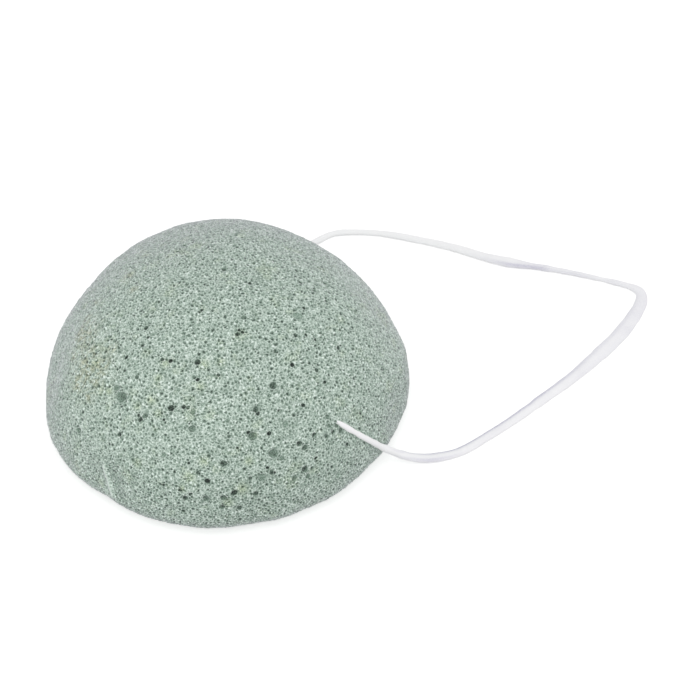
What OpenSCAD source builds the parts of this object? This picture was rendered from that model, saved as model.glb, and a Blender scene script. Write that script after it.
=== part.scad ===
// Konjac sponge: a half-ball face sponge on a knotted loop of soft cord.
// The origin is the middle of the flat face, +Z runs up through the dome and +X points
// to the far end of the loop. The sponge stands on its flat face with the loop laid down
// beside it. The cord is one length: in at one side of the dome, straight through it and
// out at the other, with its two ends joined by a reef knot behind the sponge.

/* [Sponge] */
// Distance across the sponge at its widest line
sponge_d = 80; // [70:1:90]
// Height of the dome over the flat face
sponge_h = 36; // [32:1:42]
// Height of the widest line over the flat face
rim_h = 4.5; // [3:0.5:7]
// How far the rounded rim draws in towards the flat face
rim_in = 7.5; // [5:0.5:10]

/* [Cord channel] */
// Distance of the channel from the middle of the sponge, towards the loop
channel_off = 15; // [8:0.5:16]
// Height of the channel over the flat face
channel_h = 19.5; // [16:0.5:24]
// Gap between the cord and the foam round it
channel_gap = 0.2; // [0.1:0.05:0.4]
// Radius of the hollow that the cord pulls at each mouth of the channel
mouth_r = 3.4; // [3:0.1:4.5]
// Depth of that hollow under the face of the foam
mouth_depth = 2.8; // [2.6:0.1:3.2]

/* [Cord] */
// Diameter of the cord
cord_d = 1.8; // [1.4:0.1:2.2]
// How far inside the face of the foam the free cord begins
cord_start = 2.4; // [2:0.1:2.6]
// Gap between the lying cord and the table
table_gap = 0.1; // [0.05:0.05:0.3]

/* [Knot] */
// Length of each cut end of cord past the knot
tail_l = 6.5; // [4:0.5:10]
// Sideways spread of a cut end's tip from the knot's axis
tail_spread = 3; // [2:0.5:5]

/* [Hidden] */

// Fineness of round forms
$fn = 96;
// How far the dome's form runs on below its flat face before it is cut
base_cut = 0.5;
// Overrun of a cutting solid
overrun = 1;

// Sides of the cord, and rings for each step of its route
cord_sides = 8;
route_steps = 2;
knot_steps = 2;

foam_colour = [0.66, 0.72, 0.67];
cord_colour = [0.95, 0.95, 0.97];

sponge_r = sponge_d / 2;

// Radius of the dome at a height over the widest line
function level_r(z) = sponge_r * sqrt(1 - pow((z - rim_h) / (sponge_h - rim_h), 2));

// Place along the channel where it comes out of the dome: side is -1 in front, 1 behind
function mouth_y(side) =
    side * sqrt(pow(level_r(channel_h), 2) - channel_off * channel_off);

// Where the free cord takes over from the cord in the channel, and the next place out
function cord_exit(side) = [channel_off, mouth_y(side) - side * cord_start, channel_h];
function cord_out(side) = cord_exit(side) + [0, side * cord_d * out_share, 0];
out_share = 0.8;

// Height of the middle of the cord where it lies on the table
lie = cord_d / 2 + table_gap;
function laid(places) = [for (p = places) [p.x, p.y, lie]];

// Route from the front mouth over the dome's side and down to the table
front_drape = [
    [15.2, -32.3, 19.4], [16.5, -33, 18.8], [18.8, -33.3, 16.6], [21.2, -33.2, 13.7],
    [23.6, -32.8, 10.8], [25.9, -32, 7.6], [28.3, -31.2, 4.5], [31.4, -31.2, 2]
];
// Route of the loop on the table: out to its far end and back behind the sponge
loop_laid = [
    [36, -32], [43, -32.2], [51, -29.6], [58, -26.9], [66, -23.3], [74, -19.7],
    [82, -15.3], [90, -10.3], [96.8, -4.5], [99.6, -0.7], [99.6, 1.9], [96.6, 5],
    [90.2, 10], [83.5, 14.7], [77, 18.7], [71, 23], [64.8, 28.8], [58, 34], [50.5, 39],
    [44, 41.8], [39.5, 42.6], [35.5, 41.4], [31.5, 40.1]
];
// Route from the rear mouth down the back of the dome to the knot
return_drape = [
    [14.8, 33.5, 18.9], [13.4, 35.6, 16.9], [11.3, 37.7, 13.9], [8.8, 39.5, 10.5],
    [6.2, 40.9, 7.4], [4.9, 42, 5.2], [5.8, 42.7, 3.9], [8, 42, 3.7]
];

// The knot lies behind the sponge: its middle on the table, and its turn in degrees
knot_middle = [19.5, 41.5];
knot_turn = -4;

// One strand of a reef knot, from the end of its leg to the middle of its bight, in shares
// of the cord's diameter: along the knot, sideways and up. Its other half is the mirror
// image, and the second strand is the first one turned over.
strand_shares = [
    [-4, -0.62, 0.7], [-3, -0.62, 0.7], [-2.1, -0.62, 0.7], [-1.55, -0.65, 0.55],
    [-1.05, -0.78, 0.1], [-0.55, -1, -0.4], [0, -1.3, -0.75], [0.5, -1.75, -0.75],
    [1.05, -2.1, -0.42], [1.6, -1.95, 0.12], [2.05, -1.35, 0.55], [2.2, -0.65, 0.72],
    [2.22, 0, 0.74]
];
// Points of a strand's straight leg, and height of the knot's middle over the table
leg_points = 3;
knot_rise_share = 1.3;

function mirrored(p) = [p.x, -p.y, p.z];
function turned_over(p) = [-p.x, p.y, -p.z];
function placed(p) =
    [knot_middle.x + p.x * cos(knot_turn) - p.y * sin(knot_turn),
     knot_middle.y + p.x * sin(knot_turn) + p.y * cos(knot_turn),
     p.z + knot_rise_share * cord_d + table_gap];

// The cut end of a strand, in shares of its length, its spread and its way down
tail_shares = [[0.3, 0.1, 0.05], [0.65, 0.5, 0.5], [1, 1, 1]];
half_strand = strand_shares * cord_d;
last = len(half_strand) - 1;
tail_root = mirrored(half_strand[leg_points - 1]);
function tail(low) = [
    for (s = tail_shares)
        tail_root + [-s.x * tail_l, s.y * (tail_spread - tail_root.y), s.z * (low - tail_root.z)]
];
function strand(low) = concat(
    half_strand,
    [for (i = [last - 1 : -1 : leg_points - 1]) mirrored(half_strand[i])],
    tail(low));

// Height of the table's cord line from the knot's middle. Turned over, it is above.
low = lie - table_gap - knot_rise_share * cord_d;
return_strand = [for (p = strand(low)) placed(p)];
loop_strand = [for (p = strand(-low)) placed(turned_over(p))];

// The free cord runs straight into the knot's leg for the last step
function knot_lead(ends) = [ends[0] + (ends[0] - ends[1]), ends[0]];
loop_route = concat(
    [cord_exit(-1), cord_out(-1)], front_drape, laid(loop_laid), knot_lead(loop_strand));
return_route = concat(
    [cord_exit(1), cord_out(1)], return_drape, knot_lead(return_strand));

function unit(v) = v / norm(v);

// Smooth curve through a route's points, with the same count of steps between each two
function curve_point(a, b, c, d, t) =
    (2 * b + (c - a) * t + (2 * a - 5 * b + 4 * c - d) * t * t
        + (3 * b - a - 3 * c + d) * t * t * t) / 2;
function smooth_route(p, steps) =
    let (n = len(p),
         q = concat([2 * p[0] - p[1]], p, [2 * p[n - 1] - p[n - 2]]))
    concat(
        [for (i = [0 : n - 2], k = [0 : steps - 1])
            curve_point(q[i], q[i + 1], q[i + 2], q[i + 3], k / steps)],
        [p[n - 1]]);

// Direction of the curve at each of its points, square to the first and last chords
function headings(p) =
    let (n = len(p))
    [for (i = [0 : n - 1])
        i == 0 ? unit(p[1] - p[0])
        : i == n - 1 ? unit(p[n - 1] - p[n - 2])
        : unit(p[i + 1] - p[i - 1])];

// Sideways direction carried along the curve without twist
function carried(h, i, side) =
    i == len(h) ? []
    : let (s = unit(side - (side * h[i]) * h[i]))
      concat([s], carried(h, i + 1, s));

function first_side(h) =
    cross(h, abs(h.z) < 0.9 ? [0, 0, 1] : [1, 0, 0]);

// Tube of the cord's diameter along a route, as one closed skin of triangles
module cord_tube(route, steps) {
    path = smooth_route(route, steps);
    ways = headings(path);
    sides = carried(ways, 0, first_side(ways[0]));
    rings = len(path);
    points = [
        for (i = [0 : rings - 1], k = [0 : cord_sides - 1])
            let (up = cross(ways[i], sides[i]), turn = k * 360 / cord_sides)
            path[i] + (sides[i] * cos(turn) + up * sin(turn)) * cord_d / 2
    ];
    skin = [
        for (i = [0 : rings - 2], k = [0 : cord_sides - 1])
            let (a = i * cord_sides + k,
                 b = i * cord_sides + (k + 1) % cord_sides)
            each [[a, a + cord_sides, b], [b, a + cord_sides, b + cord_sides]]
    ];
    near_end = [for (k = [1 : cord_sides - 2]) [0, k, k + 1]];
    far_ring = (rings - 1) * cord_sides;
    far_end = [for (k = [1 : cord_sides - 2]) [far_ring, far_ring + k + 1, far_ring + k]];
    polyhedron(points = points, faces = concat(skin, near_end, far_end), convexity = 10);
}

// Least gap between the knot's two strands, measured on points along them
strand_gap = min([
    for (a = smooth_route(return_strand, 4), b = smooth_route(loop_strand, 4)) norm(a - b)
]) - cord_d;
echo(least_gap_between_knot_strands = strand_gap);

// Half of the dome's section: a tall quarter ellipse on a low rounded rim
module half_section() {
    intersection() {
        translate([0, rim_h]) scale([sponge_r, sponge_h - rim_h]) circle(r = 1);
        translate([0, rim_h]) square([sponge_r, sponge_h - rim_h]);
    }
    intersection() {
        union() {
            translate([0, -base_cut]) square([sponge_r - rim_in, rim_h + base_cut]);
            translate([sponge_r - rim_in, rim_h])
                scale([rim_in, rim_h + base_cut]) circle(r = 1);
        }
        translate([0, -base_cut]) square([sponge_r, rim_h + base_cut]);
    }
}

// Hollow that the cord pulls in the foam at one mouth of the channel
module mouth_hollow(side) {
    translate([channel_off, mouth_y(side) + side * (mouth_r - mouth_depth), channel_h])
        sphere(r = mouth_r);
}

module sponge() {
    color(foam_colour)
    difference() {
        rotate_extrude() half_section();
        translate([-sponge_d / 2 - overrun, -sponge_d / 2 - overrun, -base_cut - overrun])
            cube([sponge_d + 2 * overrun, sponge_d + 2 * overrun, base_cut + overrun]);
        translate([channel_off, sponge_d / 2, channel_h])
            rotate([90, 0, 0]) cylinder(d = cord_d + 2 * channel_gap, h = sponge_d);
        mouth_hollow(-1);
        mouth_hollow(1);
    }
}

module cord_inside() {
    color(cord_colour)
    translate(cord_exit(1))
        rotate([90, 0, 0]) cylinder(d = cord_d, h = cord_exit(1).y - cord_exit(-1).y);
}

module cord_loop() {
    color(cord_colour) cord_tube(loop_route, route_steps);
}

module cord_return() {
    color(cord_colour) cord_tube(return_route, route_steps);
}

module knot_return_end() {
    color(cord_colour) cord_tube(return_strand, knot_steps);
}

module knot_loop_end() {
    color(cord_colour) cord_tube(loop_strand, knot_steps);
}

sponge();
cord_inside();
cord_loop();
cord_return();
knot_return_end();
knot_loop_end();
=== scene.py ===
"""Looks of a konjac sponge on its loop of soft cotton cord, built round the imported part.

Every length is in metres, in the part's own frame: the origin is the middle of the sponge's flat
face, +Z runs up through the dome and +X points to the far end of the cord's loop.
"""

import logging
import math
from dataclasses import dataclass, field
from enum import Enum

import bmesh
import bpy
import numpy as np
from mathutils import Matrix, Vector, noise
from mathutils.bvhtree import BVHTree
from mathutils.kdtree import KDTree


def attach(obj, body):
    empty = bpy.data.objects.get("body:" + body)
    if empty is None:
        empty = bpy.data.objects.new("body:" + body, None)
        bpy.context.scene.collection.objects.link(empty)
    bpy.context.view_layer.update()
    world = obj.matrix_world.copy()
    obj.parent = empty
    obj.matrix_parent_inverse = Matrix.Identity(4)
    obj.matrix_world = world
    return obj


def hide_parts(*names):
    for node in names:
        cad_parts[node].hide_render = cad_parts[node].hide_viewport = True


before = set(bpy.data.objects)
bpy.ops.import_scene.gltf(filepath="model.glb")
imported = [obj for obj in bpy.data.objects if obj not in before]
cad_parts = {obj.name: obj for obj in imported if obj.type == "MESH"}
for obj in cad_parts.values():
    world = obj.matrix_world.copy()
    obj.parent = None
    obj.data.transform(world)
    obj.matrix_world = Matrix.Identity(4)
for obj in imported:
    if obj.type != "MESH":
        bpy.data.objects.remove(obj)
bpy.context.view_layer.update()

LOG = logging.getLogger("sponge")
MM = 0.001
TURN = 2 * math.pi
BODY = "root"


class Slot(Enum):
    """The record's material slots."""

    FOAM = "foam"
    CORD = "cord"


class Mouth(Enum):
    """The two mouths of the cord's channel, by the sign of their place along Y."""

    FRONT = -1
    REAR = 1


def linear(colour: str) -> tuple[float, float, float, float]:
    """Turns an sRGB hex colour into the linear colour that a shader takes.

    Args:
        colour: The colour as "#rrggbb".

    Returns:
        Red, green, blue and alpha.
    """
    shares = [int(colour[i : i + 2], 16) / 255 for i in (1, 3, 5)]
    return (*(c / 12.92 if c <= 0.04045 else ((c + 0.055) / 1.055) ** 2.4 for c in shares), 1.0)


def socket(sockets: bpy.types.bpy_prop_collection, name: str) -> bpy.types.NodeSocket:
    """Finds a node's socket that is in use, by its identifier or else by its name.

    Args:
        sockets: The node's inputs or outputs.
        name: The identifier or the name.

    Returns:
        The socket.
    """
    used = [s for s in sockets if s.enabled]
    by_identifier = [s for s in used if s.identifier == name]
    return (by_identifier or [s for s in used if s.name == name])[0]


def add_node(
    tree: bpy.types.NodeTree, kind: str, settings: dict | None = None, inputs: dict | None = None
) -> bpy.types.Node:
    """Adds a node, sets it and links what comes in.

    Args:
        tree: The material's or world's node tree.
        kind: The node's type.
        settings: The node's own properties by name.
        inputs: Values, or the sockets to link from, by the name of the input.

    Returns:
        The node.
    """
    node = tree.nodes.new(kind)
    for name, value in (settings or {}).items():
        setattr(node, name, value)
    for name, value in (inputs or {}).items():
        target = socket(node.inputs, name)
        if isinstance(value, bpy.types.NodeSocket):
            tree.links.new(value, target)
        else:
            target.default_value = value
    return node


def stored(tree: bpy.types.NodeTree, name: str) -> bpy.types.NodeSocket:
    """Reads the number that the mesh stores under a name."""
    return add_node(tree, "ShaderNodeAttribute", {"attribute_name": name}).outputs["Fac"]


def calculate(
    tree: bpy.types.NodeTree, operation: str, *values: float | bpy.types.NodeSocket, clamp: bool = False
) -> bpy.types.NodeSocket:
    """Works a number out from others.

    Args:
        tree: The material's or world's node tree.
        operation: What is done, such as "MULTIPLY_ADD".
        values: The numbers, or the sockets that they come from, in order.
        clamp: Whether the result is kept between 0 and 1.

    Returns:
        Where the result comes out.
    """
    settings = {"operation": operation, "use_clamp": clamp}
    inputs = dict(zip(("Value", "Value_001", "Value_002"), values))
    return add_node(tree, "ShaderNodeMath", settings, inputs).outputs["Value"]


def remap(
    tree: bpy.types.NodeTree,
    value: bpy.types.NodeSocket,
    source: tuple[float, float] = (0.0, 1.0),
    target: tuple[float, float] = (0.0, 1.0),
    kind: str = "LINEAR",
) -> bpy.types.NodeSocket:
    """Lays one range of a number onto another.

    Args:
        tree: The material's or world's node tree.
        value: Where the number comes from.
        source: The range that it comes in.
        target: The range that it goes out in.
        kind: How it runs between the ends.

    Returns:
        Where the result comes out.
    """
    ends = dict(zip(("From Min", "From Max", "To Min", "To Max"), (*source, *target)))
    inputs = {"Value": value, **ends}
    return add_node(tree, "ShaderNodeMapRange", {"interpolation_type": kind}, inputs).outputs["Result"]


def cloud(
    tree: bpy.types.NodeTree, width: float, detail: float, roughness: float
) -> bpy.types.NodeSocket:
    """Makes soft random light and dark through the object.

    Args:
        tree: The material's node tree.
        width: About how far apart the light places are, in metres.
        detail: How many finer layers there are.
        roughness: How strong the finer layers are.

    Returns:
        Where the number, about 0.5 in the mean, comes out.
    """
    place = add_node(tree, "ShaderNodeTexCoord").outputs["Object"]
    inputs = {"Vector": place, "Scale": 1 / width, "Detail": detail, "Roughness": roughness}
    return add_node(tree, "ShaderNodeTexNoise", None, inputs).outputs["Fac"]


def lay_over(
    tree: bpy.types.NodeTree,
    share: bpy.types.NodeSocket,
    under: object,
    over: object,
    blend: str = "MIX",
) -> bpy.types.NodeSocket:
    """Lays one colour over another.

    Args:
        tree: The material's node tree.
        share: How much of the upper one counts, from 0 to 1.
        under: The lower colour, or where it comes from.
        over: The upper colour.
        blend: How the two go together.

    Returns:
        Where the colour comes out.
    """
    settings = {"data_type": "RGBA", "blend_type": blend}
    mixed = add_node(tree, "ShaderNodeMix", settings, {"Factor": share, "A": under, "B": over})
    return socket(mixed.outputs, "Result")


def roughened(
    tree: bpy.types.NodeTree, height: bpy.types.NodeSocket, strength: float, distance: float
) -> bpy.types.NodeSocket:
    """Roughens a surface by a height: its strength from 0 to 1, and its distance in metres."""
    inputs = {"Height": height, "Strength": strength, "Distance": distance}
    return add_node(tree, "ShaderNodeBump", None, inputs).outputs["Normal"]


def new_material(name: str) -> tuple[bpy.types.Material, bpy.types.NodeTree]:
    """Makes an empty node material.

    Args:
        name: The material's name.

    Returns:
        The material and its node tree.
    """
    material = bpy.data.materials.new(name)
    material.use_nodes = True
    material.node_tree.nodes.clear()
    return material, material.node_tree


def new_object(
    name: str, points: np.ndarray, faces: list, material: bpy.types.Material
) -> bpy.types.Object:
    """Makes a smooth mesh object at the origin.

    Args:
        name: The object's name.
        points: The vertices, one row each.
        faces: The vertex numbers of each face.
        material: What it is dressed in.

    Returns:
        The object, in the scene.
    """
    mesh = bpy.data.meshes.new(name)
    mesh.from_pydata(points.tolist(), [], faces)
    mesh.polygons.foreach_set("use_smooth", np.ones(len(mesh.polygons), bool))
    mesh.materials.append(material)
    mesh.update()
    made = bpy.data.objects.new(name, mesh)
    bpy.context.scene.collection.objects.link(made)
    return made


def paint(piece: bpy.types.Object, name: str, values: np.ndarray) -> None:
    """Stores one number for each vertex, for the piece's material to read.

    Args:
        piece: The mesh object.
        name: The attribute's name.
        values: The numbers.
    """
    attribute = piece.data.attributes.new(name, "FLOAT", "POINT")
    attribute.data.foreach_set("value", values.astype(np.float32))


def smooth_step(low: float, high: float, x: np.ndarray) -> np.ndarray:
    """Rises smoothly from 0 at low to 1 at high, or falls where low is the larger."""
    t = np.clip((x - low) / (high - low), 0, 1)
    return t * t * (3 - 2 * t)


def unit(v: np.ndarray) -> np.ndarray:
    """Scales each row to length 1."""
    return v / np.maximum(np.linalg.norm(v, axis=-1, keepdims=True), 1e-12)


def distances(line: np.ndarray) -> np.ndarray:
    """Gives how far along a line each of its points lies."""
    return np.concatenate([[0], np.cumsum(np.linalg.norm(np.diff(line, axis=0), axis=1))])


def places_at(where: np.ndarray, marks: np.ndarray, points: np.ndarray) -> np.ndarray:
    """Reads places off a line.

    Args:
        where: The distances at which they are wanted.
        marks: The distances at which the line's points lie.
        points: The line's points, one row each.

    Returns:
        One place for each distance.
    """
    return np.stack([np.interp(where, marks, points[:, k]) for k in range(3)], -1)


def eased(rows: np.ndarray, rounds: int) -> np.ndarray:
    """Eases each row but the first and last towards its neighbours, so many rounds."""
    for _ in range(rounds):
        rows[1:-1] = (rows[:-2] + 2 * rows[1:-1] + rows[2:]) / 4
    return rows


def ring_grid(rings: int, sides: int) -> tuple[np.ndarray, np.ndarray]:
    """Numbers the points of a pile of rings.

    Args:
        rings: How many rings there are.
        sides: How many points each has.

    Returns:
        The number of each point of all rings but the last, and that of its neighbour on its ring.
    """
    ring, k = np.meshgrid(np.arange(rings - 1), np.arange(sides), indexing="ij")
    return ring * sides + k, ring * sides + (k + 1) % sides


def lumps(points: np.ndarray, width: float, offset: float = 0.0) -> np.ndarray:
    """Gives a soft random height, from about -1 to 1, at each point.

    Args:
        points: Where, one row each.
        width: About how far apart the lumps are, in metres.
        offset: Moves the pattern, so that two uses differ.

    Returns:
        One height for each point.
    """
    raised = 1.6
    return np.array([noise.noise(Vector(p)) for p in (points / width + offset).tolist()]) * raised


@dataclass(frozen=True)
class PhotoEye:
    """The eye of the photograph: a long lens that looks down on the sponge at about 45 degrees."""

    aim: tuple[float, float, float] = (26.1 * MM, -8.2 * MM, 14.75 * MM)
    turn: float = -19.2
    lift: float = 45.2
    distance: float = 600 * MM
    lens: float = 141.8
    sensor: float = 36.0
    picture: int = 700

    def axes(self) -> tuple[np.ndarray, np.ndarray, np.ndarray]:
        """Gives the eye's directions.

        Returns:
            To its right, up in the picture, and back from the aim to the eye.
        """
        turn, lift = math.radians(self.turn), math.radians(self.lift)
        right = np.array([math.cos(turn), math.sin(turn), 0.0])
        level = np.array([math.sin(turn), -math.cos(turn), 0.0])
        back = level * math.cos(lift) + np.array([0.0, 0.0, math.sin(lift)])
        return right, np.cross(back, right), back

    def place(self) -> np.ndarray:
        """Gives the eye's place."""
        return np.array(self.aim) + self.axes()[2] * self.distance

    def ray(self, pixel: tuple[float, float]) -> np.ndarray:
        """Gives the direction in which the eye sees a pixel of the photograph.

        Args:
            pixel: Its column and row.

        Returns:
            A direction of length 1.
        """
        right, up, back = self.axes()
        reach = self.lens / self.sensor * self.picture
        half = self.picture / 2
        return unit((pixel[0] - half) / reach * right + (half - pixel[1]) / reach * up - back)

    def build(self) -> None:
        """Makes the camera and gives it to the scene."""
        data = bpy.data.cameras.new("photo_eye")
        data.lens, data.sensor_width = self.lens, self.sensor
        data.clip_start, data.clip_end = 10 * MM, 10.0
        camera = bpy.data.objects.new("photo_eye", data)
        bpy.context.scene.collection.objects.link(camera)
        turned = Matrix(np.stack(self.axes(), 1)).to_4x4()
        camera.matrix_world = Matrix.Translation(self.place()) @ turned
        bpy.context.scene.camera = camera


@dataclass(frozen=True)
class KonjacFoam:
    """Moulded konjac foam, moist, tinted with green clay.

    The gel sets round steam bubbles and is frozen and thawed, which leaves a net of pale ridges
    round open cells. To the eye it is matt and grey-green, with shade painted dark into each
    cell and pale on the net, glints painted in here and there where it is moist, and it is paler
    and greyer where it turns away.
    """

    # The colours from the pale crest of the net down to the deep one paint shade into each cell
    crest: str = "#e1efe5"
    net: str = "#c5d7cb"
    skin: str = "#9fb4a6"
    cell: str = "#788e7f"
    deep: str = "#252e29"
    clay: str = "#fdfdea"
    rust: str = "#fbf1e2"
    # Colour of the painted highlight where the foam glints
    painted_glint: str = "#f0fdf5"
    haze: str = "#ceaed7"
    # How deep the colours of net, skin and cell lie on that ramp of painted shade, from the crest
    # at 0 to the deepest at 1
    colour_depths: tuple[float, float, float] = (0.12, 0.3, 0.58)
    # Unevenness of that depth: how wide it is, and its factor and shift
    grain_width: float = 0.24 * MM
    grain_gain: tuple[float, float] = (1.8, -0.85)
    fleck_width: float = 1.2 * MM
    fleck_gain: tuple[float, float] = (0.3, -0.15)
    # Patches of thicker clay: how wide they are, where they begin and are full, and their strength
    clay_width: float = 4 * MM
    clay_edge: tuple[float, float] = (0.56, 0.7)
    clay_strength: float = 0.4
    # Where the flecks begin to carry rust and where they are full of it
    rust_edge: tuple[float, float] = (0.35, 0.6)
    # Factor and shift that turn the mesh's glint into wetness, which makes the foam smoother and
    # lays the painted highlight on it
    glint_gain: tuple[float, float] = (2.6, -0.7)
    roughness_dry_and_wet: tuple[float, float] = (0.62, 0.25)

    def dress(self) -> bpy.types.Material:
        """Makes the foam's material.

        Returns:
            A material that reads the mesh's numbers "depth", "glint", "clay" and "rust".
        """
        material, tree = new_material("moulded_konjac_foam")
        grain = cloud(tree, self.grain_width, 2.0, 0.6)
        fleck = cloud(tree, self.fleck_width, 1.0, 0.5)
        grained = calculate(tree, "MULTIPLY_ADD", grain, *self.grain_gain)
        flecked = calculate(tree, "MULTIPLY_ADD", fleck, *self.fleck_gain)
        uneven = calculate(tree, "ADD", grained, flecked)
        level = calculate(tree, "ADD", stored(tree, "depth"), uneven, clamp=True)
        # Painted shade: the mesh's depth, with grain and flecks, runs down the ramp from crest to deep
        tone = add_node(tree, "ShaderNodeValToRGB", None, {"Fac": level})
        stops = tone.color_ramp.elements
        stops[0].position, stops[0].color = 0.0, linear(self.crest)
        stops[1].position, stops[1].color = 1.0, linear(self.deep)
        for depth, colour in zip(self.colour_depths, (self.net, self.skin, self.cell)):
            stops.new(depth).color = linear(colour)
        patch = cloud(tree, self.clay_width, 3.0, 0.55)
        patched = remap(tree, patch, self.clay_edge, (0.0, self.clay_strength), "SMOOTHSTEP")
        clayey = calculate(tree, "MAXIMUM", stored(tree, "clay"), patched)
        rusty = calculate(tree, "MULTIPLY", stored(tree, "rust"), remap(tree, fleck, self.rust_edge))
        rusted = lay_over(tree, rusty, tone.outputs["Color"], linear(self.rust), "MULTIPLY")
        clayed = lay_over(tree, clayey, rusted, linear(self.clay), "MULTIPLY")
        # Painted highlight: near-white is laid over the colour where the foam glints, and there it is
        # also smoother
        wet_and_painted_glint = calculate(tree, "MULTIPLY_ADD", stored(tree, "painted_glint"), *self.glint_gain, clamp=True)
        shader = add_node(
            tree, "ShaderNodeBsdfPrincipled", None,
            {
                "Base Color": lay_over(tree, wet_and_painted_glint, clayed, linear(self.painted_glint)),
                "Roughness": remap(tree, wet_and_painted_glint, target=self.roughness_dry_and_wet),
                "IOR": 1.38,
                "Sheen Weight": 0.44,
                "Sheen Roughness": 0.45,
                "Sheen Tint": linear(self.haze),
                "Normal": roughened(tree, grain, 0.6, 0.2 * MM),
            },
        )
        add_node(tree, "ShaderNodeOutputMaterial", None, {"Surface": shader.outputs["BSDF"]})
        return material


@dataclass(frozen=True)
class SpunCotton:
    """Soft cotton cord, spun loosely, bleached white and pressed flat by use.

    The loose fibres scatter light, so it is matt and almost evenly white, with shade painted in
    lilac-grey along the folds of its edges and a faint lilac-grey in soft patches.
    """

    fibre: str = "#fcfcfd"
    # Colour of the painted shade along the edges and of the patches
    shade: str = "#9690b8"
    hair_width: float = 0.25 * MM

    def dress(self) -> bpy.types.Material:
        """Makes the cord's material.

        Returns:
            A material that reads the mesh's number "groove".
        """
        material, tree = new_material("spun_cotton_cord")
        hair = cloud(tree, self.hair_width, 3.0, 0.65)
        shaded = calculate(tree, "MULTIPLY", stored(tree, "groove"), hair)
        shader = add_node(
            tree, "ShaderNodeBsdfPrincipled", None,
            {
                "Base Color": lay_over(tree, shaded, linear(self.fibre), linear(self.shade)),
                "Roughness": 0.9,
                "IOR": 1.5,
                "Specular IOR Level": 0.2,
                "Sheen Weight": 0.6,
                "Sheen Roughness": 0.7,
                "Normal": roughened(tree, hair, 0.4, 0.08 * MM),
            },
        )
        add_node(tree, "ShaderNodeOutputMaterial", None, {"Surface": shader.outputs["BSDF"]})
        return material


@dataclass(frozen=True)
class Pore:
    """One large open cell: the photograph's pixel where it is seen, its width and the darkness of its
    painted shade.
    """

    seen_at: tuple[float, float]
    width: float
    tone: float


@dataclass(frozen=True)
class Swell:
    """One soft bump of the form, or a dent where its rise is negative, at a pixel of the photograph."""

    seen_at: tuple[float, float]
    rise: float
    width: float


@dataclass(frozen=True)
class Mark:
    """One crease or scratch through some pixels of the photograph, which fades in from the first.

    Its edge stands out by the rise, with light painted on where that is high, and the groove beside it
    has painted shade.
    """

    seen_at: tuple[tuple[float, float], ...]
    width: float
    rise: float
    groove: float
    # In shares of the width: how wide the edge is, how far off the groove lies and how wide it is
    edge_share: float = 0.625
    groove_off_share: float = 2.4
    groove_share: float = 1.6
    # Share of its way over which it fades in
    fade_share: float = 0.5


@dataclass(frozen=True)
class Stain:
    """One small patch where the clay lies thick, or is rusty, at a pixel of the photograph."""

    seen_at: tuple[float, float]
    width: float
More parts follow.
